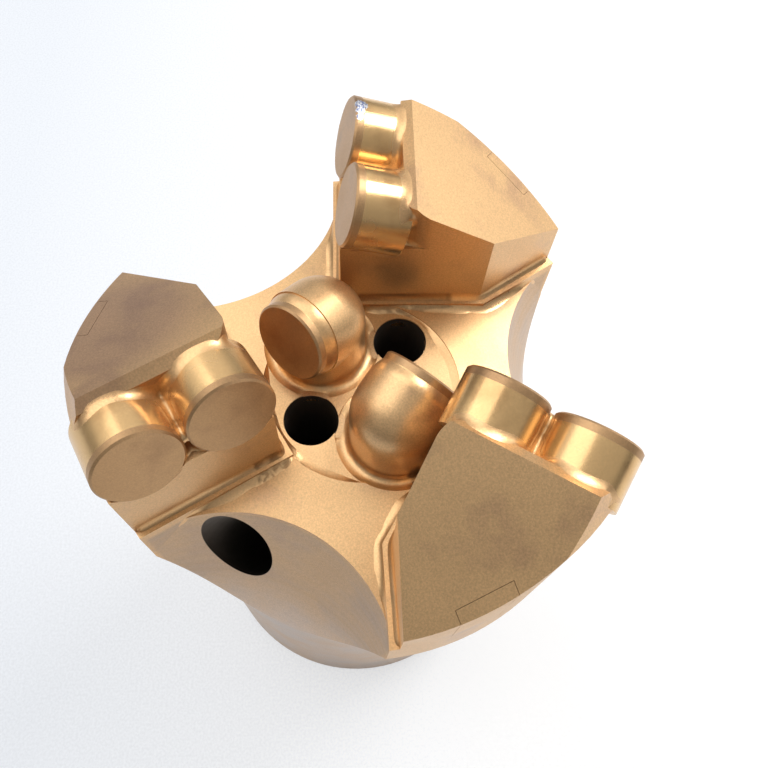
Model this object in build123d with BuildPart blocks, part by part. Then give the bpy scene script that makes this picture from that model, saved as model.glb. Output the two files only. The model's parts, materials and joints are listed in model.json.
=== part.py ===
"""Three-wing PDC drill bit: a steel body with brazed-in polycrystalline diamond cutters.

The origin is the centre of the flat shank face that the bit stands on, and +Z runs up the
bit axis to the crown. The first wing lies along +X. Cutting turns the bit counter-clockwise
seen from above, so each wing carries its cutters on its +Y side.
"""
from build123d import *
from math import cos, radians, sin
import os

# ---- Body of revolution -------------------------------------------------------------
wing_count = 3
gauge_radius = 60.8
shank_radius = 50.5
shank_top_height = 94.2
gauge_pad_bottom = 133.7
floor_height = 148.9
floor_outer_drop = 2.4
shank_chamfer = 2.0

# ---- Central recess turned in the floor ---------------------------------------------
recess_radius = 23.8
recess_depth = 1.0

# ---- Wings, measured in each wing's own frame: X outwards, Y towards its cutters -----
leading_face_y = 4.9
inner_flank_x = 24.3
inner_corner_y = -30.1
trailing_corner_x = 36.3
trailing_corner_y = -48.8
crest_height = 184.4
crest_y = -11.9
crown_slope = 0.6
land_front_y = -9.5
land_front_drop = 1.8
pocket_block_drop = 13.0
shoulder_width = 3.2
shoulder_drop = 6.9
inner_corner_radius = 6.0
foot_step_width = 1.9
foot_step_height = 0.9

# ---- Junk slots between the wings ---------------------------------------------------
slot_angle = 35.5
slot_half_width = 37.7
slot_mouth_depth = 24.3
slot_mouth_sag = 37.7
slot_foot_clearance = 2.7
slot_foot_sag = 1.2

# ---- Cutters ------------------------------------------------------------------------
cutter_diameter = 19.05
cutter_length = 13.2
diamond_thickness = 2.0
cutter_edge_chamfer = 0.45
braze_gap = 0.1
cutter_face_y = 3.5
cutter_back_rake = 16.0
outer_cutter_inset = 8.7
outer_cutter_drop = 7.7
inner_cutter_inset = 28.8
inner_cutter_drop = 6.9

# ---- Centre cutters and their barrels ------------------------------------------------
centre_cutter_rise = 14.9
centre_cutter_rake = 18.0
far_cutter_radius = 17.1
far_cutter_azimuth = 75.6
far_cutter_facing = 137.4
near_cutter_radius = 14.1
near_cutter_azimuth = 255.0
near_cutter_facing = 322.9
barrel_wall = 1.1
barrel_front_setback = 4.8
barrel_length = 10.7
barrel_recess_margin = 3.4
barrel_recess_depth = 0.8

# ---- Gauge inserts ------------------------------------------------------------------
insert_angle = -37.4
insert_width = 11.5
insert_thickness = 3.0
insert_drop = 34.6

# ---- Water ways and the box connection ------------------------------------------------
water_hole_radius = 6.5
near_hole_distance = 14.4
near_hole_azimuth = 122.8
far_hole_distance = 16.1
far_hole_azimuth = 323.1
side_hole_radius = 7.4
side_hole_distance = 44.8
side_hole_height = 131.1
side_hole_angle = -16.3
side_hole_heading = -18.1
side_hole_pitch = 69.8
side_hole_lead = 18.0
side_hole_length = 58.0
counterbore_radius = 38.9
counterbore_depth = 15.9
thread_mouth_radius = 36.9
thread_depth = 92.0
thread_taper = 0.125
plenum_radius = 26.0
plenum_height = 118.0

# ---- Values worked out from the sizes above -----------------------------------------
cutter_radius = cutter_diameter / 2
pocket_radius = cutter_radius + braze_gap
barrel_radius = cutter_radius + barrel_wall
wing_pitch = 360 / wing_count
wing_angles = [wing_pitch * index for index in range(wing_count)]
clear_height = crest_height + cutter_diameter
reach = gauge_radius + cutter_diameter
pocket_block_height = crest_height - pocket_block_drop
land_front_height = crest_height - land_front_drop
slot_mouth_height = floor_height - floor_outer_drop
slot_mouth_distance = gauge_radius - slot_mouth_depth
slot_foot_distance = shank_radius + slot_foot_clearance
slot_reach = slot_mouth_distance + slot_mouth_sag + cutter_diameter
centre_cutter_height = floor_height + centre_cutter_rise
centre_cutter_places = [
    (far_cutter_radius, far_cutter_azimuth, far_cutter_facing),
    (near_cutter_radius, near_cutter_azimuth, near_cutter_facing),
]
face_hole_places = [
    (near_hole_distance, near_hole_azimuth),
    (far_hole_distance, far_hole_azimuth),
]
thread_top_radius = thread_mouth_radius - (thread_depth - counterbore_depth) * thread_taper
crown_tail_y = trailing_corner_y - foot_step_width
crown_tail_height = crest_height + crown_slope * (crown_tail_y - crest_y)


def cutter_plane(face_x, face_y, face_height, face_azimuth, rake):
    """Plane of a cutter's face: its normal points ahead, tipped up by the back rake."""
    normal = (
        cos(radians(rake)) * cos(radians(face_azimuth)),
        cos(radians(rake)) * sin(radians(face_azimuth)),
        sin(radians(rake)),
    )
    return Plane(origin=(face_x, face_y, face_height), z_dir=normal)


def wing_cutter_plane(wing_angle, inset, drop):
    """Face plane of a wing's cutter from its inset from the gauge and drop from the crest."""
    turn = radians(wing_angle)
    face_x = gauge_radius - inset
    return cutter_plane(
        face_x * cos(turn) - cutter_face_y * sin(turn),
        face_x * sin(turn) + cutter_face_y * cos(turn),
        crest_height - drop,
        wing_angle + 90,
        cutter_back_rake,
    )


def centre_cutter_plane(place):
    """Face plane of a centre cutter from its radius, azimuth and facing direction."""
    distance, azimuth, facing = place
    turn = radians(azimuth)
    return cutter_plane(
        distance * cos(turn),
        distance * sin(turn),
        centre_cutter_height,
        facing,
        centre_cutter_rake,
    )


def turned_outline():
    """Half section of the turned body below the wings."""
    return [
        (0, 0),
        (shank_radius - shank_chamfer, 0),
        (shank_radius, shank_chamfer),
        (shank_radius, shank_top_height),
        (gauge_radius, gauge_pad_bottom),
        (gauge_radius, floor_height - floor_outer_drop),
        (recess_radius, floor_height),
        (0, floor_height),
    ]


def gauge_outline():
    """Half section of the turned outside that every wing is kept inside."""
    shoulder_height = crest_height - shoulder_drop
    return [
        (0, shank_top_height),
        (shank_radius, shank_top_height),
        (gauge_radius, gauge_pad_bottom),
        (gauge_radius, shoulder_height),
        (gauge_radius - shoulder_width * 2, shoulder_height + shoulder_drop * 2),
        (0, shoulder_height + shoulder_drop * 2),
    ]


def wing_footprint(grow):
    """Plan outline of a wing, grown by a step width, running out past the gauge."""
    trailing_lean = (inner_corner_y - trailing_corner_y) / (trailing_corner_x - inner_flank_x)
    tail_x = reach
    tail_y = trailing_corner_y - (reach - trailing_corner_x) * trailing_lean
    return [
        (reach, leading_face_y + grow),
        (inner_flank_x - grow, leading_face_y + grow),
        (inner_flank_x - grow, inner_corner_y - grow / 2),
        (tail_x - grow, tail_y - grow),
        (reach, tail_y - grow),
    ]


def wing_side():
    """Side view of a wing: pocket block ahead, land, crest and the sloping crown."""
    return [
        (leading_face_y, gauge_pad_bottom),
        (leading_face_y, pocket_block_height),
        (land_front_y, pocket_block_height),
        (land_front_y, land_front_height),
        (crest_y, crest_height),
        (crown_tail_y, crown_tail_height),
        (crown_tail_y, gauge_pad_bottom),
    ]


# ---- One wing ------------------------------------------------------------------------
with BuildPart() as wing:
    with BuildSketch(Plane.XY.offset(gauge_pad_bottom)):
        Polygon(*wing_footprint(0), align=None)
    extrude(amount=clear_height - gauge_pad_bottom)
    with BuildSketch(Plane.YZ):
        Polygon(*wing_side(), align=None)
    extrude(amount=reach, mode=Mode.INTERSECT)
    with BuildSketch(Plane.XZ):
        Polygon(*gauge_outline(), align=None)
    revolve(axis=Axis.Z, mode=Mode.INTERSECT)
    crest_corner = wing.edges().filter_by(Axis.Z).group_by(Axis.Y)[-2].sort_by(Axis.X)[0]
    fillet(crest_corner, radius=inner_corner_radius)

# ---- The low step that runs round each wing's foot -----------------------------------
with BuildPart() as foot_step:
    with BuildSketch(Plane.XY.offset(gauge_pad_bottom)):
        Polygon(*wing_footprint(foot_step_width), align=None)
    extrude(amount=floor_height + foot_step_height - gauge_pad_bottom)
    with BuildSketch(Plane.XZ):
        Polygon(*gauge_outline(), align=None)
    revolve(axis=Axis.Z, mode=Mode.INTERSECT)

# ---- A junk slot: hollow and round at the floor, running out flat on the taper --------
with BuildPart() as junk_slot:
    with BuildSketch(Plane.XY.offset(slot_mouth_height)) as slot_mouth:
        with BuildLine():
            mouth_arc = ThreePointArc(
                (slot_mouth_distance + slot_mouth_sag, -slot_half_width),
                (slot_mouth_distance, 0),
                (slot_mouth_distance + slot_mouth_sag, slot_half_width),
            )
            Polyline(
                mouth_arc @ 1,
                (slot_reach, slot_half_width),
                (slot_reach, -slot_half_width),
                mouth_arc @ 0,
            )
        make_face()
    extrude(amount=clear_height - slot_mouth_height)
    with BuildSketch(Plane.XY.offset(shank_top_height)) as slot_foot:
        with BuildLine():
            foot_arc = ThreePointArc(
                (slot_foot_distance + slot_foot_sag, -slot_half_width),
                (slot_foot_distance, 0),
                (slot_foot_distance + slot_foot_sag, slot_half_width),
            )
            Polyline(
                foot_arc @ 1,
                (slot_reach, slot_half_width),
                (slot_reach, -slot_half_width),
                foot_arc @ 0,
            )
        make_face()
    loft(sections=[slot_foot.sketch.face(), slot_mouth.sketch.face()])


def barrel(place):
    """Round-backed steel barrel that carries one centre cutter."""
    face = centre_cutter_plane(place)
    back = face.offset(-barrel_length)
    with BuildPart() as holder:
        with BuildSketch(Plane(origin=back.origin, x_dir=back.z_dir, z_dir=back.x_dir)):
            Circle(barrel_radius)
            Rectangle(
                2 * barrel_radius,
                2 * barrel_radius,
                align=(Align.MIN, Align.CENTER),
                mode=Mode.SUBTRACT,
            )
            Rectangle(
                barrel_length - barrel_front_setback,
                2 * barrel_radius,
                align=(Align.MIN, Align.CENTER),
            )
            Rectangle(
                4 * barrel_radius,
                2 * barrel_radius,
                align=(Align.CENTER, Align.MAX),
                mode=Mode.SUBTRACT,
            )
        revolve(axis=Axis(back.origin, back.z_dir))
        with BuildSketch(Plane.XY.offset(floor_height - recess_depth - barrel_recess_depth)):
            with Locations((back.origin.X, back.origin.Y)):
                Circle(barrel_radius)
        extrude(amount=back.origin.Z - floor_height + recess_depth + barrel_recess_depth)
    return holder.part


def cutter_pocket(face):
    """Round pocket that a cutter is brazed into, open ahead of the cutter."""
    with BuildPart() as pocket:
        with BuildSketch(face.offset(-cutter_length - braze_gap)):
            Circle(pocket_radius)
        extrude(amount=cutter_length + braze_gap + cutter_diameter)
    return pocket.part


def carbide(face):
    """Tungsten carbide body of a cutter, behind its diamond table."""
    with BuildPart() as body:
        with BuildSketch(face.offset(-cutter_length)):
            Circle(cutter_radius)
        extrude(amount=cutter_length - diamond_thickness)
    return body.part


def diamond_table(face):
    """Polycrystalline diamond layer on the cutter's face, with a ground edge."""
    with BuildPart() as table:
        with BuildSketch(face.offset(-diamond_thickness)):
            Circle(cutter_radius)
        extrude(amount=diamond_thickness)
        front = table.faces().sort_by_distance(face.origin)[0]
        chamfer(front.edges(), length=cutter_edge_chamfer)
    return table.part


def insert_block(wing_angle, grow):
    """Block of a gauge insert in the outer face of a wing, grown by a braze gap."""
    seat = Plane.XY.rotated((0, 0, wing_angle + insert_angle))
    with BuildPart() as block:
        with BuildSketch(seat.offset(crest_height - insert_drop)):
            with Locations((gauge_radius - insert_thickness - grow, 0)):
                Rectangle(
                    insert_thickness * 2,
                    insert_width + 2 * grow,
                    align=(Align.MIN, Align.CENTER),
                )
        extrude(amount=insert_drop + cutter_diameter)
    return block.part


def side_hole_plane(slot_index):
    """Plane across the mouth of the water hole in a junk slot's wall, facing outwards."""
    slot_azimuth = slot_angle + wing_pitch * slot_index
    azimuth = radians(slot_azimuth + side_hole_angle)
    heading = radians(slot_azimuth + side_hole_heading)
    pitch = radians(side_hole_pitch)
    mouth = (side_hole_distance * cos(azimuth), side_hole_distance * sin(azimuth), side_hole_height)
    direction = (cos(pitch) * cos(heading), cos(pitch) * sin(heading), sin(pitch))
    return Plane(origin=mouth, z_dir=direction).offset(side_hole_lead)


outer_faces = [wing_cutter_plane(angle, outer_cutter_inset, outer_cutter_drop) for angle in wing_angles]
inner_faces = [wing_cutter_plane(angle, inner_cutter_inset, inner_cutter_drop) for angle in wing_angles]
centre_faces = [centre_cutter_plane(place) for place in centre_cutter_places]

# ---- Bit body: turned blank, wings, slots, barrels, pockets and water ways ------------
with BuildPart() as bit_body:
    with BuildSketch(Plane.XZ):
        Polygon(*turned_outline(), align=None)
    revolve(axis=Axis.Z)
    with BuildSketch(Plane.XY.offset(floor_height - recess_depth)):
        Circle(recess_radius)
    extrude(amount=clear_height, mode=Mode.SUBTRACT)
    with PolarLocations(0, wing_count, start_angle=slot_angle):
        add(junk_slot.part, mode=Mode.SUBTRACT)
    with PolarLocations(0, wing_count):
        add(foot_step.part)
        add(wing.part)
    for place in centre_cutter_places:
        back = centre_cutter_plane(place).offset(-barrel_length)
        with BuildSketch(Plane.XY.offset(floor_height - recess_depth - barrel_recess_depth)):
            with Locations((back.origin.X, back.origin.Y)):
                Circle(barrel_radius + barrel_recess_margin)
        extrude(amount=recess_depth + barrel_recess_depth, mode=Mode.SUBTRACT)
        add(barrel(place))
    for wing_angle in wing_angles:
        add(insert_block(wing_angle, braze_gap), mode=Mode.SUBTRACT)
    for face in outer_faces + inner_faces + centre_faces:
        add(cutter_pocket(face), mode=Mode.SUBTRACT)
    with BuildSketch(Plane.XZ):
        Polygon(
            (0, 0),
            (counterbore_radius, 0),
            (counterbore_radius, counterbore_depth),
            (thread_mouth_radius, counterbore_depth),
            (thread_top_radius, thread_depth),
            (plenum_radius, thread_depth),
            (plenum_radius, plenum_height),
            (0, plenum_height),
            align=None,
        )
    revolve(axis=Axis.Z, mode=Mode.SUBTRACT)
    for distance, azimuth in face_hole_places:
        with BuildSketch(Plane.XY.offset(thread_depth)):
            with PolarLocations(distance, 1, start_angle=azimuth):
                Circle(water_hole_radius)
        extrude(amount=clear_height - thread_depth, mode=Mode.SUBTRACT)
    for slot_index in range(wing_count):
        with BuildSketch(side_hole_plane(slot_index)):
            Circle(side_hole_radius)
        extrude(amount=-side_hole_length, mode=Mode.SUBTRACT)

# ---- Gauge insert: a tile whose outer face follows the gauge and whose top the crown --
with BuildPart() as gauge_insert:
    add(insert_block(0, 0))
    add(wing.part, mode=Mode.INTERSECT)


def write_piece(shape, name):
    """Label one finished piece and write it as its own STEP file."""
    shape.label = name
    export_step(shape, f"parts/{name}.step")


def write_cutters(faces, kind):
    """Write the carbide body and the diamond table of each cutter of one kind."""
    for number, face in enumerate(faces, start=1):
        write_piece(carbide(face), f"{kind}_cutter_carbide_{number}")
        write_piece(diamond_table(face), f"{kind}_cutter_diamond_{number}")


os.makedirs("parts", exist_ok=True)
write_piece(bit_body.part, "bit_body")
write_cutters(outer_faces, "outer")
write_cutters(inner_faces, "inner")
write_cutters(centre_faces, "centre")
for number, wing_angle in enumerate(wing_angles, start=1):
    write_piece(gauge_insert.part.rotate(Axis.Z, wing_angle), f"gauge_insert_{number}")
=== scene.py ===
"""Studio scene of a gold-painted, three-wing PDC drill bit standing on its shank.

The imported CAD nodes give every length. This script paints them, adds the braze fillets
between the cutters and the body and the thread inside the box connection, and sets the
floor, the camera and the lights.
"""
import json
import logging
import math
from dataclasses import dataclass
from enum import Enum

import bpy
from mathutils import Matrix, Vector

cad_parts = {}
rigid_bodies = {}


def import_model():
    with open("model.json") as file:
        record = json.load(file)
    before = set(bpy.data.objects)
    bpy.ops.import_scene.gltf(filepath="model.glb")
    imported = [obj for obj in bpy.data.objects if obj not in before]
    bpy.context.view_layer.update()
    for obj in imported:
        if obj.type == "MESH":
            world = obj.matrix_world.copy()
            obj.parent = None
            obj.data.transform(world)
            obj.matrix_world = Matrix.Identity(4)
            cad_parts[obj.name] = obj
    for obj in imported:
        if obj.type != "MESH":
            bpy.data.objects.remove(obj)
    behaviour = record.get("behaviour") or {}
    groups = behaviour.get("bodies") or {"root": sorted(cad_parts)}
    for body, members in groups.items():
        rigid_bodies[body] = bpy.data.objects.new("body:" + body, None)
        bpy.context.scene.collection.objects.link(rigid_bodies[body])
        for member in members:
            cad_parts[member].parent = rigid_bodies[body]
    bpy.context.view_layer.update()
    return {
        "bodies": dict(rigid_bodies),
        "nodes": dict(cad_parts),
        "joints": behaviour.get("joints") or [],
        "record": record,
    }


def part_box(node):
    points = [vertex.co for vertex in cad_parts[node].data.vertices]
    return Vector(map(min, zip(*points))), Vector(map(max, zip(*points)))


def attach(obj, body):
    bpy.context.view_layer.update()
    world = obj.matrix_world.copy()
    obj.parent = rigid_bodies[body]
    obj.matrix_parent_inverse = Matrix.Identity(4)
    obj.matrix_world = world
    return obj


LOG = logging.getLogger("drill_bit")

Socket = bpy.types.NodeSocket
Tree = bpy.types.NodeTree
Colour = tuple[float, float, float, float]
Point = tuple[float, float, float]

MM = 0.001
WING_ANGLES = (0, 120, 240)

# The length of each cutter's carbide, the height of the floor's edge and the gauge radius.
CARBIDE_LENGTH_MM = 11.2
FLOOR_EDGE_MM = 147.6
GAUGE_RADIUS_MM = 60.7

# Bare spots on the outer cutter of the first wing: place and size.
CHIP_SPOTS_MM = (
    ((54.0, -0.3, 185.3), 1.5),
    ((52.1, 0.0, 185.6), 1.1),
    ((50.3, 0.1, 185.4), 0.8),
)


def linear(hex_colour: str) -> Colour:
    """Turn an sRGB hex colour into linear RGBA.

    Args:
        hex_colour: A colour such as "C79A55".

    Returns:
        Linear red, green, blue and an alpha of one.
    """
    channels = [int(hex_colour[i:i + 2], 16) / 255 for i in (0, 2, 4)]
    values = [c / 12.92 if c <= 0.04045 else ((c + 0.055) / 1.055) ** 2.4 for c in channels]
    return (values[0], values[1], values[2], 1.0)


def add_node(
    tree: Tree,
    kind: str,
    settings: dict[str, object] | None = None,
    links: dict[str, Socket] | None = None,
) -> bpy.types.Node:
    """Add one shader node.

    Args:
        tree: The node tree that receives the node.
        kind: The node's type name without "ShaderNode".
        settings: Property names, or socket names after "in:", and their values.
        links: Input socket names and the output sockets that feed them.

    Returns:
        The new node.
    """
    node = tree.nodes.new("ShaderNode" + kind)
    for key, value in (settings or {}).items():
        if key.startswith("in:"):
            socket = key[3:]
            node.inputs[int(socket) if socket.isdigit() else socket].default_value = value
        else:
            setattr(node, key, value)
    for key, source in (links or {}).items():
        tree.links.new(source, node.inputs[int(key) if key.isdigit() else key])
    return node


def ramp(tree: Tree, source: Socket, stops: list[tuple[float, object]]) -> Socket:
    """Turn a value into a colour.

    Args:
        tree: The node tree.
        source: The value.
        stops: Positions, each with a grey value or a linear colour.

    Returns:
        The colour's socket.
    """
    node = add_node(tree, "ValToRGB", {}, {"Fac": source})
    elements = node.color_ramp.elements
    while len(elements) < len(stops):
        elements.new(1.0)
    for element, (position, value) in zip(elements, stops):
        element.position = position
        element.color = value if isinstance(value, tuple) else (value, value, value, 1.0)
    return node.outputs["Color"]


def spread(
    tree: Tree, source: Socket, start: float, end: float, low: float = 0.0, high: float = 1.0,
) -> Socket:
    """Map a value from one range to another, clamped at both ends.

    Args:
        tree: The node tree.
        source: The value.
        start: The value that gives low.
        end: The value that gives high.
        low: The result at start.
        high: The result at end.

    Returns:
        The result's socket.
    """
    settings = {
        "in:From Min": start, "in:From Max": end, "in:To Min": low, "in:To Max": high,
    }
    return add_node(tree, "MapRange", settings, {"Value": source}).outputs["Result"]


def compute(tree: Tree, operation: str, first: Socket, second: Socket | float) -> Socket:
    """Do one sum on a value.

    Args:
        tree: The node tree.
        operation: The Math node's operation.
        first: The first value.
        second: The second value, a socket or a number.

    Returns:
        The result's socket.
    """
    if isinstance(second, (int, float)):
        node = add_node(tree, "Math", {"operation": operation, "in:1": second}, {"0": first})
    else:
        node = add_node(tree, "Math", {"operation": operation}, {"0": first, "1": second})
    return node.outputs[0]


def blend(tree: Tree, share: Socket, under: Socket | Colour, over: Socket | Colour) -> Socket:
    """Lay one colour over another by a mask.

    Args:
        tree: The node tree.
        share: The mask.
        under: The colour where the mask is zero.
        over: The colour where the mask is one.

    Returns:
        The mixed colour's socket.
    """
    settings: dict[str, object] = {"data_type": "RGBA"}
    links = {"0": share}
    for key, value in (("6", under), ("7", over)):
        if isinstance(value, tuple):
            settings["in:" + key] = value
        else:
            links[key] = value
    return add_node(tree, "Mix", settings, links).outputs[2]


def multiply(tree: Tree, first: Socket, second: Socket) -> Socket:
    """Multiply two colours.

    Args:
        tree: The node tree.
        first: The first colour.
        second: The second colour.

    Returns:
        The product's socket.
    """
    settings = {"data_type": "RGBA", "blend_type": "MULTIPLY", "in:0": 1.0}
    return add_node(tree, "Mix", settings, {"6": first, "7": second}).outputs[2]


def distance_to(tree: Tree, place: Socket, point_mm: Point) -> Socket:
    """Measure the distance to a point.

    Args:
        tree: The node tree.
        place: The Object coordinates.
        point_mm: The point, in mm.

    Returns:
        The distance in metres.
    """
    point = tuple(value * MM for value in point_mm)
    settings = {"operation": "DISTANCE", "in:1": point}
    return add_node(tree, "VectorMath", settings, {"0": place}).outputs["Value"]


def new_material(name: str) -> tuple[bpy.types.Material, Tree]:
    """Make an empty node material.

    Args:
        name: Its name.

    Returns:
        The material and its cleared node tree.
    """
    material = bpy.data.materials.new(name)
    material.use_nodes = True
    material.node_tree.nodes.clear()
    return material, material.node_tree


def select_only(piece: bpy.types.Object) -> None:
    """Select one object and make it active.

    Args:
        piece: The object.
    """
    bpy.ops.object.select_all(action="DESELECT")
    piece.select_set(True)
    bpy.context.view_layer.objects.active = piece


class Coat(Enum):
    """Which parts of the bit a paint finish covers."""

    BODY = "body"
    CUTTER = "cutter"
    FACE = "face"
    BRAZE = "braze"


@dataclass(frozen=True)
class DrilledWay:
    """The axis and radius of one drilled hole, inside which the steel is bare and painted dark as
    shade.

    Attributes:
        origin: A point on the axis, in mm.
        heading: The direction of the axis.
        radius_mm: How far from the axis the bare steel reaches.
        top_mm: The height under which the steel is bare.
    """

    origin: Point
    heading: Point
    radius_mm: float
    top_mm: float

    def mask(self, tree: Tree, place: Socket, height: Socket) -> Socket:
        """Make a mask that is one inside the hole.

        Args:
            tree: The material's node tree.
            place: The Object coordinates.
            height: The Z part of the Object coordinates.

        Returns:
            The mask's socket.
        """
        origin = tuple(value * MM for value in self.origin)
        heading = tuple(Vector(self.heading).normalized())
        offset = add_node(
            tree, "VectorMath", {"operation": "SUBTRACT", "in:1": origin}, {"0": place},
        ).outputs[0]
        aside = add_node(
            tree, "VectorMath", {"operation": "CROSS_PRODUCT", "in:1": heading}, {"0": offset},
        ).outputs[0]
        reach = add_node(tree, "VectorMath", {"operation": "LENGTH"}, {"0": aside}).outputs["Value"]
        inside = compute(tree, "LESS_THAN", reach, self.radius_mm * MM)
        below = compute(tree, "LESS_THAN", height, self.top_mm * MM)
        return compute(tree, "MULTIPLY", inside, below)


@dataclass(frozen=True)
class WaterWays:
    """Where the bit is drilled and bored, with each radius a hair over the steel's.

    Attributes:
        bore_radius_mm: The connection's radius.
        bore_top_mm: Its top.
        floor_holes: Each floor hole's distance from the axis and azimuth.
        floor_hole_radius_mm: Their radius.
        floor_hole_top_mm: Their top.
        slot_azimuths: The azimuths of the junk slots.
        side_hole_distance_mm: The distance of a side hole's mouth from the axis.
        side_hole_height_mm: The mouth's height.
        side_hole_angle: The mouth's azimuth from its slot's.
        side_hole_heading: The azimuth of the hole's direction from its slot's.
        side_hole_pitch: The direction's angle above the horizon.
        side_hole_radius_mm: The hole's radius.
        side_hole_top_mm: Its top.
    """

    bore_radius_mm: float = 39.1
    bore_top_mm: float = 118.4
    floor_holes: tuple[tuple[float, float], ...] = ((14.4, 122.8), (16.1, 323.1))
    floor_hole_radius_mm: float = 6.56
    floor_hole_top_mm: float = 147.4
    slot_azimuths: tuple[float, ...] = (35.5, 155.5, 275.5)
    side_hole_distance_mm: float = 44.8
    side_hole_height_mm: float = 131.1
    side_hole_angle: float = -16.3
    side_hole_heading: float = -18.1
    side_hole_pitch: float = 69.8
    side_hole_radius_mm: float = 7.46
    side_hole_top_mm: float = 150.0

    def ways(self) -> list[DrilledWay]:
        """List every hole.

        Returns:
            One entry for each hole.
        """
        up = (0.0, 0.0, 1.0)
        found = [DrilledWay((0.0, 0.0, 0.0), up, self.bore_radius_mm, self.bore_top_mm)]
        for distance, azimuth in self.floor_holes:
            turn = math.radians(azimuth)
            foot = (distance * math.cos(turn), distance * math.sin(turn), 0.0)
            found.append(DrilledWay(foot, up, self.floor_hole_radius_mm, self.floor_hole_top_mm))
        for azimuth in self.slot_azimuths:
            at = math.radians(azimuth + self.side_hole_angle)
            along = math.radians(azimuth + self.side_hole_heading)
            pitch = math.radians(self.side_hole_pitch)
            mouth = (
                self.side_hole_distance_mm * math.cos(at),
                self.side_hole_distance_mm * math.sin(at),
                self.side_hole_height_mm,
            )
            heading = (
                math.cos(pitch) * math.cos(along),
                math.cos(pitch) * math.sin(along),
                math.sin(pitch),
            )
            found.append(
                DrilledWay(mouth, heading, self.side_hole_radius_mm, self.side_hole_top_mm)
            )
        return found


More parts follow.
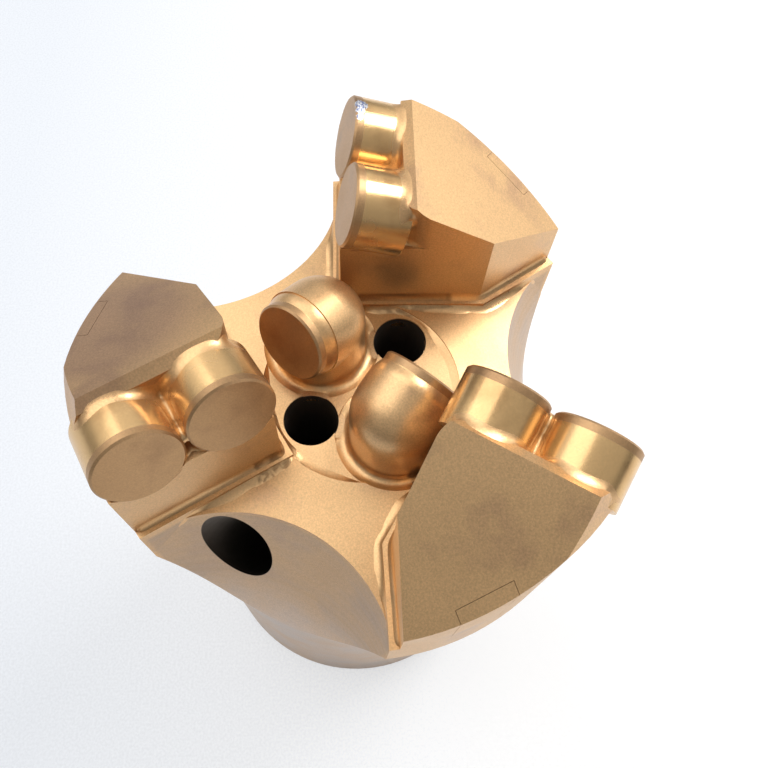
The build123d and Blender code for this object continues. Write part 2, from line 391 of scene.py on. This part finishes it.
@dataclass(frozen=True)
class GoldSprayPaint:
    """Metallic gold lacquer, sprayed on bare steel or carbide by hand.

    The lacquer carries metal flake, so flat faces look sandy and round ones glossy. Painted
    shade browns the corners, and the coat thins to a pinkish grey where little paint reached.

    Attributes:
        name: The material's name.
        coat: The parts that it covers.
        paint: Colour of the full coat.
        corner_shade: Colour of the painted shade in the corners.
        thin: Colour where the coat is thin.
        roughness: Roughness of the full coat.
        flake_mm: Size of the flake pattern.
        flake_strength: How far the flake changes the colour.
        bump_mm: Height of the flake's bump.
        corner_shade_mm: How far out of a corner the painted shade reaches.
        cloud_mm: Size of the pattern in which the coat thins.
        metallic: How metallic the lacquer is.
        bare_steel_and_shade: Colour of the drilled holes: bare steel, darkened with painted shade.
        bare_roughness: Their roughness.
        slot_thin_coat_and_shade: Colour of the thin coat in the slots, darkened with painted shade.
        turned_shank: Colour of the thin coat on the shank.
        dark_crown_reflection: Colour of the painted dark reflection on one crown.
        chip_dark: Darker colour of a chipped spot.
        chip_light: Lighter colour of a chipped spot.
    """

    name: str
    coat: Coat
    paint: str
    corner_shade: str
    thin: str
    roughness: float
    flake_mm: float
    flake_strength: float
    bump_mm: float
    corner_shade_mm: float = 1.6
    cloud_mm: float = 15.0
    metallic: float = 0.86
    bare_steel_and_shade: str = "6A625A"
    bare_roughness: float = 0.62
    slot_thin_coat_and_shade: str = "B0967E"
    turned_shank: str = "D0C2B9"
    dark_crown_reflection: str = "9C7A6C"
    chip_dark: str = "7C88B4"
    chip_light: str = "F4F4F6"

    def build(self) -> bpy.types.Material:
        """Make the material.

        Returns:
            The node material.
        """
        material, tree = new_material(self.name)
        place = add_node(tree, "TexCoord").outputs["Object"]
        height = add_node(tree, "SeparateXYZ", {}, {"Vector": place}).outputs["Z"]
        flake = add_node(
            tree, "TexNoise",
            {"in:Scale": 1 / (self.flake_mm * MM), "in:Detail": 3.0, "in:Roughness": 0.7},
            {"Vector": place},
        ).outputs["Fac"]
        cloud = add_node(
            tree, "TexNoise",
            {"in:Scale": 1 / (self.cloud_mm * MM), "in:Detail": 4.0, "in:Roughness": 0.55},
            {"Vector": place},
        ).outputs["Fac"]
        full = linear(self.paint)
        colour = ramp(tree, cloud, [(0.30, linear(self.thin)), (0.46, full), (1.0, full)])
        low, high = self.roughness - 0.05, self.roughness + 0.07
        rough = spread(tree, cloud, 0.3, 0.7, low, high)
        bump = add_node(
            tree, "Bump", {"in:Strength": 0.5, "in:Distance": self.bump_mm * MM},
            {"Height": flake},
        ).outputs["Normal"]
        if self.coat is Coat.BODY:
            colour, bump = self.side_coat(tree, place, height, cloud, colour, bump)
            colour = self.crown_tint(tree, place, colour)
        colour = self.painted_corner_shade(tree, colour)
        strength = self.flake_strength
        speck = ramp(tree, flake, [(0.34, 1.0 - strength), (0.52, 1.0), (0.70, 1.0 + strength)])
        colour = multiply(tree, colour, speck)
        if self.coat is Coat.BODY:
            colour, rough = self.shaded_bare_holes(tree, place, height, colour, rough)
        if self.coat in (Coat.CUTTER, Coat.FACE):
            colour = self.chip(tree, place, flake, colour)
        shader = add_node(
            tree, "BsdfPrincipled", {"in:Metallic": self.metallic},
            {"Base Color": colour, "Roughness": rough, "Normal": bump},
        )
        add_node(tree, "OutputMaterial", {}, {"Surface": shader.outputs["BSDF"]})
        return material

    def painted_corner_shade(self, tree: Tree, colour: Socket) -> Socket:
        """Brown the inner corners with painted shade.

        Args:
            tree: The material's node tree.
            colour: The colour so far.

        Returns:
            The colour's socket.
        """
        # Painted shade: ambient occlusion browns the inner corners.
        settings = {"samples": 8, "only_local": True, "in:Distance": self.corner_shade_mm * MM}
        corner = add_node(tree, "AmbientOcclusion", settings).outputs["AO"]
        share = ramp(tree, corner, [(0.30, 0.85), (0.72, 0.0)])
        return blend(tree, share, colour, linear(self.corner_shade))

    def side_coat(
        self,
        tree: Tree,
        place: Socket,
        height: Socket,
        cloud: Socket,
        colour: Socket,
        bump: Socket,
    ) -> tuple[Socket, Socket]:
        """Thin the coat on the slots and shank, and let the tool marks show there.

        Args:
            tree: The material's node tree.
            place: The Object coordinates.
            height: Their Z part.
            cloud: The cloudy noise.
            colour: The colour so far.
            bump: The normal so far.

        Returns:
            The colour and the normal.
        """
        side = spread(tree, height, FLOOR_EDGE_MM * MM, (FLOOR_EDGE_MM - 1.8) * MM, 0.0, 0.8)
        flat = add_node(
            tree, "VectorMath", {"operation": "MULTIPLY", "in:1": (1.0, 1.0, 0.0)}, {"0": place},
        ).outputs[0]
        radius = add_node(tree, "VectorMath", {"operation": "LENGTH"}, {"0": flat}).outputs["Value"]
        within = spread(tree, radius, GAUGE_RADIUS_MM * MM, (GAUGE_RADIUS_MM - 1.3) * MM)
        side = compute(tree, "MULTIPLY", side, within)
        patch = spread(tree, cloud, 0.62, 0.40, 0.68, 1.0)
        share = compute(tree, "MULTIPLY", side, patch)
        foot = spread(tree, height, 120 * MM, 96 * MM)
        # The slot sides get a darker colour than the shank: a thin coat, partly painted shade.
        thin = blend(tree, foot, linear(self.slot_thin_coat_and_shade), linear(self.turned_shank))
        colour = blend(tree, share, colour, thin)
        # The wave repeats every 0.314 of its scale length, so the marks are 3.8 mm apart.
        marks = add_node(
            tree, "TexWave",
            {"bands_direction": "Z", "in:Scale": 1 / (12 * MM), "in:Distortion": 2.5,
             "in:Detail": 3.0, "in:Detail Scale": 0.6},
            {"Vector": place},
        ).outputs["Fac"]
        depth = compute(tree, "MULTIPLY", side, marks)
        milled = add_node(
            tree, "Bump", {"in:Strength": 0.35, "in:Distance": 0.10 * MM},
            {"Height": depth, "Normal": bump},
        )
        return colour, milled.outputs["Normal"]

    def crown_tint(self, tree: Tree, place: Socket, colour: Socket) -> Socket:
        """Darken the crown of the second wing with a painted dark reflection.

        Args:
            tree: The material's node tree.
            place: The Object coordinates.
            colour: The colour so far.

        Returns:
            The colour's socket.
        """
        # Painted dark reflection: a patch round this crown's middle is browned.
        turn = Matrix.Rotation(math.radians(WING_ANGLES[1]), 3, "Z")
        middle = turn @ Vector((45.0, -30.0, 174.0))
        away = distance_to(tree, place, tuple(middle))
        share = spread(tree, away, 27 * MM, 14 * MM, 0.0, 0.55)
        return blend(tree, share, colour, linear(self.dark_crown_reflection))

    def shaded_bare_holes(
        self, tree: Tree, place: Socket, height: Socket, colour: Socket, rough: Socket,
    ) -> tuple[Socket, Socket]:
        """Leave the drilled holes bare and dull, and darken them with painted shade.

        Args:
            tree: The material's node tree.
            place: The Object coordinates.
            height: Their Z part.
            colour: The colour so far.
            rough: The roughness so far.

        Returns:
            The colour and the roughness.
        """
        masks = [way.mask(tree, place, height) for way in WaterWays().ways()]
        bare = masks[0]
        for mask in masks[1:]:
            bare = compute(tree, "MAXIMUM", bare, mask)
        # Painted shade: the bare steel in the holes is given a dark colour.
        colour = blend(tree, bare, colour, linear(self.bare_steel_and_shade))
        dull = compute(tree, "MULTIPLY", bare, self.bare_roughness)
        return colour, compute(tree, "MAXIMUM", rough, dull)

    def chip(self, tree: Tree, place: Socket, flake: Socket, colour: Socket) -> Socket:
        """Show the bare blue-white spots where the paint chipped off one cutter.

        Args:
            tree: The material's node tree.
            place: The Object coordinates.
            flake: The fine noise.
            colour: The colour so far.

        Returns:
            The colour's socket.
        """
        stops = [(0.45, linear(self.chip_dark)), (0.55, linear(self.chip_light))]
        tone = ramp(tree, flake, stops)
        ragged = add_node(
            tree, "Math", {"operation": "MULTIPLY_ADD", "in:1": -1.6 * MM, "in:2": 0.8 * MM},
            {"0": flake},
        ).outputs[0]
        for spot, size in CHIP_SPOTS_MM:
            edge = compute(tree, "ADD", distance_to(tree, place, spot), ragged)
            share = compute(tree, "LESS_THAN", edge, size * MM)
            colour = blend(tree, share, colour, tone)
        return colour


@dataclass(frozen=True)
class Collar:
    """A ring of braze round a cutter's carbide.

    Attributes:
        radius_mm: Its radius.
        front_mm: How far behind the front of the carbide it starts.
        back_mm: How far behind the front it ends.
    """

    radius_mm: float
    front_mm: float
    back_mm: float


@dataclass(frozen=True)
class Region:
    """A box of the crown, in one wing's frame.

    Attributes:
        low: The lowest corner, in mm.
        high: The highest corner, in mm.
        turn: The wing's angle in degrees.
    """

    low: Point
    high: Point
    turn: float = 0.0

    def build(self) -> bpy.types.Object:
        """Make the box.

        Returns:
            The box.
        """
        bpy.ops.object.select_all(action="DESELECT")
        bpy.ops.mesh.primitive_cube_add(size=1.0)
        box = bpy.context.object
        size = [(b - a) * MM for a, b in zip(self.low, self.high)]
        middle = [(a + b) / 2 * MM for a, b in zip(self.low, self.high)]
        box.data.transform(
            Matrix.Rotation(math.radians(self.turn), 4, "Z")
            @ Matrix.Translation(middle)
            @ Matrix.Diagonal((*size, 1.0))
        )
        return box


@dataclass
class BrazeFillets:
    """The braze metal and thick paint that round off every inner corner of the crown.

    Each fillet piece is a softened copy of the body and the cutters in one region. It lies
    just under their surfaces, so it only comes into view where it fills a corner.

    Attributes:
        material: The fillets' material.
        voxel_mm: The size of the softened copy's cells.
        rounds: How many times it is smoothed.
        inset_mm: How far it lies under the surface.
        weld_mm: The distance under which loose corners are welded.
        wing_collar: The collar round each cutter of a wing.
        centre_collar: The collar round each centre cutter.
    """

    frame: dict
    material: bpy.types.Material
    voxel_mm: float = 0.65
    rounds: int = 34
    inset_mm: float = 0.10
    weld_mm: float = 0.002
    wing_collar: Collar = Collar(9.7, 7.5, 11.1)
    centre_collar: Collar = Collar(10.45, 1.0, 6.0)

    def copy(self, node: str) -> bpy.types.Object:
        """Copy one CAD node's mesh into a new object with welded edges.

        Args:
            node: The node's name.

        Returns:
            The new object, which is active.
        """
        piece = bpy.data.objects.new(node + "_copy", self.frame["nodes"][node].data.copy())
        bpy.context.scene.collection.objects.link(piece)
        select_only(piece)
        bpy.ops.object.mode_set(mode="EDIT")
        bpy.ops.mesh.select_all(action="SELECT")
        bpy.ops.mesh.remove_doubles(threshold=self.weld_mm * MM)
        bpy.ops.object.mode_set(mode="OBJECT")
        return piece

    def sleeve(self, carbide: str, collar: Collar) -> bpy.types.Object:
        """Wrap a collar of braze round a cutter.

        Args:
            carbide: The carbide's node.
            collar: The collar's size.

        Returns:
            The collar's object.
        """
        middle = {}
        diamond = carbide.replace("carbide", "diamond")
        for name in (carbide, diamond):
            low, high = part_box(name)
            middle[name] = (Vector(low) + Vector(high)) / 2
        ahead = (middle[diamond] - middle[carbide]).normalized()
        front = middle[carbide] + ahead * (CARBIDE_LENGTH_MM / 2 * MM)
        place = front - ahead * ((collar.front_mm + collar.back_mm) / 2 * MM)
        bpy.ops.object.select_all(action="DESELECT")
        bpy.ops.mesh.primitive_cylinder_add(
            vertices=96,
            radius=collar.radius_mm * MM,
            depth=(collar.back_mm - collar.front_mm) * MM,
        )
        ring = bpy.context.object
        facing = ahead.to_track_quat("Z", "Y").to_matrix().to_4x4()
        ring.data.transform(Matrix.Translation(place) @ facing)
        return ring

    def fill(self, name: str, nodes: list[str], region: Region, collar: Collar) -> None:
        """Build one fillet piece.

        Args:
            name: The piece's name.
            nodes: The cutters' nodes in the region.
            region: The region.
            collar: The collar round each cutter.
        """
        cutters = [self.copy(node) for node in nodes]
        cutters += [self.sleeve(node, collar) for node in nodes if "carbide" in node]
        box = region.build()
        piece = self.copy("bit_body")
        cut = piece.modifiers.new("region", "BOOLEAN")
        cut.operation = "INTERSECT"
        cut.solver = "EXACT"
        cut.object = box
        bpy.ops.object.modifier_apply(modifier=cut.name)
        bpy.data.objects.remove(box)
        for cutter in cutters:
            cutter.select_set(True)
        bpy.ops.object.join()
        solid = piece.modifiers.new("solid", "REMESH")
        solid.mode = "VOXEL"
        solid.voxel_size = self.voxel_mm * MM
        solid.use_smooth_shade = True
        flow = piece.modifiers.new("flow", "SMOOTH")
        flow.factor = 0.5
        flow.iterations = self.rounds
        inset = piece.modifiers.new("inset", "DISPLACE")
        inset.strength = -self.inset_mm * MM
        inset.mid_level = 0.0
        for step in ("solid", "flow", "inset"):
            bpy.ops.object.modifier_apply(modifier=step)
        piece.name = name
        piece.data.name = name
        piece.data.materials.clear()
        piece.data.materials.append(self.material)
        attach(piece, "root")
        LOG.info("filled %s with %d faces", name, len(piece.data.polygons))

    def build(self) -> None:
        """Fill the corners of the three wings and of the centre."""
        parts = ("carbide", "diamond")
        for number, turn in enumerate(WING_ANGLES, start=1):
            nodes = [f"{k}_cutter_{p}_{number}" for k in ("outer", "inner") for p in parts]
            region = Region((16, -60, 142), (66, 16, 190), turn)
            self.fill(f"braze_fillets_wing_{number}", nodes, region, self.wing_collar)
        nodes = [f"centre_cutter_{part}_{number}" for number in (1, 2) for part in parts]
        region = Region((-29, -29, 142), (29, 29, 178))
        self.fill("braze_fillets_centre", nodes, region, self.centre_collar)


@dataclass
class ConnectionThread:
    """The tapered thread inside the box connection.

    Attributes:
        material: Its material.
        pitch_mm: The distance from turn to turn.
        mouth_radius_mm: The bore's radius at the mouth.
        taper: How much the radius shrinks for each mm of depth.
        mouth_mm: How far inside the shank face the taper starts.
        ridge_mm: How far the ridge stands in from the bore.
        root_mm: How far its foot is sunk into the bore.
        foot_half_mm: Half the ridge's width at its foot.
        crest_half_mm: Half its width at its crest.
        start_mm: The height of the first turn.
        turns: How many turns there are.
        steps: How many straight steps make one turn.
    """

    material: bpy.types.Material
    pitch_mm: float = 5.08
    mouth_radius_mm: float = 36.9
    taper: float = 0.125
    mouth_mm: float = 15.9
    ridge_mm: float = 2.2
    root_mm: float = 0.15
    foot_half_mm: float = 1.9
    crest_half_mm: float = 0.55
    start_mm: float = 17.5
    turns: int = 13
    steps: int = 96

    def build(self) -> None:
        """Wind the ridge of the thread."""
        bpy.ops.object.select_all(action="DESELECT")
        bpy.ops.mesh.primitive_plane_add(size=1.0)
        ridge = bpy.context.object
        profile = [
            (self.root_mm, -self.foot_half_mm),
            (-self.ridge_mm, -self.crest_half_mm),
            (self.root_mm, self.foot_half_mm),
            (-self.ridge_mm, self.crest_half_mm),
        ]
        for vertex, (out, up) in zip(ridge.data.vertices, profile):
            vertex.co = ((self.mouth_radius_mm + out) * MM, 0.0, (self.start_mm + up) * MM)
        wind = ridge.modifiers.new("wind", "SCREW")
        wind.axis = "Z"
        wind.angle = math.tau
        wind.screw_offset = self.pitch_mm * MM
        wind.iterations = self.turns
        wind.steps = self.steps
        wind.render_steps = self.steps
        wind.use_merge_vertices = False
        bpy.ops.object.modifier_apply(modifier=wind.name)
        for vertex in ridge.data.vertices:
            radius = math.hypot(vertex.co.x, vertex.co.y)
            share = (radius - self.taper * (vertex.co.z - self.mouth_mm * MM)) / radius
            vertex.co.x *= share
            vertex.co.y *= share
        bpy.ops.object.mode_set(mode="EDIT")
        bpy.ops.mesh.select_all(action="SELECT")
        bpy.ops.mesh.fill_holes(sides=4)
        bpy.ops.mesh.select_all(action="SELECT")
        bpy.ops.mesh.normals_make_consistent(inside=False)
        bpy.ops.object.mode_set(mode="OBJECT")
        ridge.name = "box_thread"
        ridge.data.name = "box_thread"
        ridge.data.materials.append(self.material)
        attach(ridge, "root")
        LOG.info("wound the thread with %d faces", len(ridge.data.polygons))


# Gold lacquer on milled steel: sandy, soft highlights, thin and pinkish on the sides.
BODY_PAINT = GoldSprayPaint(
    "gold_spray_paint_on_milled_steel", Coat.BODY,
    paint="E0B785", corner_shade="7E4F2C", thin="CBA37C",
    roughness=0.36, flake_mm=0.42, flake_strength=0.14, bump_mm=0.05,
)
# Gold lacquer on ground carbide: the smooth ground side gives near-white highlights.
CUTTER_PAINT = GoldSprayPaint(
    "gold_spray_paint_on_ground_carbide", Coat.CUTTER,
    paint="E6BE86", corner_shade="7E4F2C", thin="D0A672",
    roughness=0.23, flake_mm=0.5, flake_strength=0.05, bump_mm=0.02,
)
# Gold lacquer on a lapped diamond face: duller than the cutter's side, and darker as painted shade.
SHADED_FACE_PAINT = GoldSprayPaint(
    "gold_spray_paint_on_diamond", Coat.FACE,
    paint="BE986E", corner_shade="6E4A30", thin="A98560",
    roughness=0.40, flake_mm=0.42, flake_strength=0.10, bump_mm=0.03,
)
# Gold lacquer on brazing alloy that flowed and froze: glossier than the milled steel.
BRAZE_PAINT = GoldSprayPaint(
    "gold_spray_paint_on_braze", Coat.BRAZE,
    paint="E1B784", corner_shade="84532E", thin="D6AC7C",
    roughness=0.31, flake_mm=0.45, flake_strength=0.10, bump_mm=0.05,
)


@dataclass
class Bit:
    """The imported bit, its painted CAD nodes and the pieces added round them.

    Attributes:
    """

    frame: dict

    def dress(self) -> None:
        """Paint every CAD node and add the braze and the thread."""
        body = BODY_PAINT.build()
        cutter = CUTTER_PAINT.build()
        face = SHADED_FACE_PAINT.build()
        for name, node in self.frame["nodes"].items():
            material = body
            if "carbide" in name:
                material = cutter
            elif "diamond" in name:
                material = face
            node.data.materials.clear()
            node.data.materials.append(material)
            LOG.info("painted %s", name)
        BrazeFillets(self.frame, BRAZE_PAINT.build()).build()
        ConnectionThread(body).build()


@dataclass(frozen=True)
class Lamp:
    """One soft square lamp that faces the bit.

    Attributes:
        name: The lamp's name.
        place: Where it hangs, in metres.
        side: The length of its side, in metres.
        watts: Its power.
    """

    name: str
    place: Point
    side: float
    watts: float

    def hang(self, target: Point) -> None:
        """Hang the lamp.

        Args:
            target: The point that it faces, in metres.
        """
        data = bpy.data.lights.new(self.name, "AREA")
        data.shape = "SQUARE"
        data.size = self.side
        data.energy = self.watts
        lamp = bpy.data.objects.new(self.name, data)
        bpy.context.scene.collection.objects.link(lamp)
        lamp.location = self.place
        ahead = Vector(target) - Vector(self.place)
        lamp.rotation_euler = ahead.to_track_quat("-Z", "Y").to_euler()
        LOG.info("hung %s", self.name)


@dataclass
class Studio:
    """Floor, lights, world and camera.

    Attributes:
        lens_mm: The camera's focal length on a 36 mm sensor.
        aim: The point that the camera looks at, in metres.
        distance: The camera's distance from it, in metres.
        azimuth: The direction from the aim to the camera, in degrees.
        elevation: Its height above the horizon, in degrees.
        roll: The camera's roll, in degrees.
        lamps: The lamps.
        lamp_target: The point that the lamps face, in metres.
        sky_strength: How bright the room is.
    """

    lens_mm: float = 38.2
    aim: Point = (-0.0006, -0.0052, 0.1521)
    distance: float = 0.1925
    azimuth: float = 173.78
    elevation: float = 65.42
    roll: float = 5.15
    lamps: tuple[Lamp, ...] = (
        Lamp("window", (0.33, -0.40, 0.82), 0.35, 3.4),
        Lamp("low_window", (0.30, -0.60, 0.48), 0.6, 0.9),
        Lamp("ceiling", (0.25, 0.45, 0.95), 0.9, 3.6),
    )
    lamp_target: Point = (0.0, 0.0, 0.13)
    sky_strength: float = 0.82

    def floor(self) -> None:
        """Lay the white foam sheet, which is pale, matt and a little grainy; painted shade greys it
        towards +Y.

        It lies 0.3 mm under the shank face, so that the two don't share a plane. It glows
        for the camera alone, so it looks as pale as a lit sheet and still takes a shadow.
        """
        bpy.ops.object.select_all(action="DESELECT")
        bpy.ops.mesh.primitive_plane_add(size=3.0, location=(0, 0, -0.3 * MM))
        floor = bpy.context.object
        floor.name = "studio_floor"
        material, tree = new_material("white_foam_sheet")
        place = add_node(tree, "TexCoord").outputs["Object"]
        grain = add_node(
            tree, "TexNoise", {"in:Scale": 1 / (0.9 * MM), "in:Detail": 3.0}, {"Vector": place},
        ).outputs["Fac"]
        speck = ramp(tree, grain, [(0.35, 0.93), (0.65, 1.0)])
        across = add_node(tree, "SeparateXYZ", {}, {"Vector": place}).outputs["Y"]
        # Painted shade and light: the sheet turns bluish grey towards +Y and white towards -Y.
        side = spread(tree, across, 160 * MM, -60 * MM)
        floor_shade_wash = ramp(tree, side, [(0.0, linear("EAEEF4")), (1.0, linear("FFFFFF"))])
        tint = multiply(tree, floor_shade_wash, speck)
        shader = add_node(tree, "BsdfPrincipled", {"in:Roughness": 0.8}, {"Base Color": tint})
        glow = add_node(tree, "Emission", {"in:Strength": 1.12}, {"Color": tint})
        seen = add_node(tree, "LightPath").outputs["Is Camera Ray"]
        share = compute(tree, "MULTIPLY", seen, 0.55)
        mix = add_node(
            tree, "MixShader", {}, {"0": share, "1": shader.outputs[0], "2": glow.outputs[0]},
        )
        add_node(tree, "OutputMaterial", {}, {"Surface": mix.outputs[0]})
        floor.data.materials.append(material)

    def camera(self) -> None:
        """Place the camera at the viewing angle."""
        data = bpy.data.cameras.new("camera")
        data.lens = self.lens_mm
        data.sensor_width = 36.0
        camera = bpy.data.objects.new("camera", data)
        bpy.context.scene.collection.objects.link(camera)
        turn = math.radians(self.azimuth)
        rise = math.radians(self.elevation)
        away = Vector((
            math.cos(rise) * math.cos(turn),
            math.cos(rise) * math.sin(turn),
            math.sin(rise),
        ))
        look = (-away).to_track_quat("-Z", "Y").to_matrix().to_4x4()
        camera.matrix_world = (
            Matrix.Translation(Vector(self.aim) + away * self.distance)
            @ look
            @ Matrix.Rotation(math.radians(self.roll), 4, "Z")
        )
        bpy.context.scene.camera = camera

    def world(self) -> None:
        """Set a room that is bright towards +X and overhead, and dark along the horizon."""
        world = bpy.data.worlds.new("pale_room")
        bpy.context.scene.world = world
        world.use_nodes = True
        tree = world.node_tree
        tree.nodes.clear()
        place = add_node(tree, "TexCoord").outputs["Generated"]
        split = add_node(tree, "SeparateXYZ", {}, {"Vector": place})
        side = spread(tree, split.outputs["X"], -0.7, 0.4)
        tone = ramp(tree, side, [(0.0, 0.42), (0.5, 0.62), (1.0, 1.0)])
        low = ramp(tree, split.outputs["Z"], [(0.0, 0.30), (0.16, 0.38), (0.34, 1.0)])
        sky = multiply(tree, tone, low)
        room = add_node(tree, "Background", {"in:Strength": self.sky_strength}, {"Color": sky})
        plain = add_node(
            tree, "Background", {"in:Color": linear("FBFBFC"), "in:Strength": 1.0},
        )
        seen = add_node(tree, "LightPath").outputs["Is Camera Ray"]
        mix = add_node(
            tree, "MixShader", {}, {"0": seen, "1": room.outputs[0], "2": plain.outputs[0]},
        )
        add_node(tree, "OutputWorld", {}, {"Surface": mix.outputs[0]})

    def build(self) -> None:
        """Build the whole studio."""
        self.floor()
        self.camera()
        for lamp in self.lamps:
            lamp.hang(self.lamp_target)
        self.world()


def main() -> None:
    logging.basicConfig(level=logging.INFO)
    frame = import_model()
    Studio().build()
    Bit(frame).dress()
    bpy.context.scene.view_settings.view_transform = "Standard"


if __name__ == "__main__":
    main()
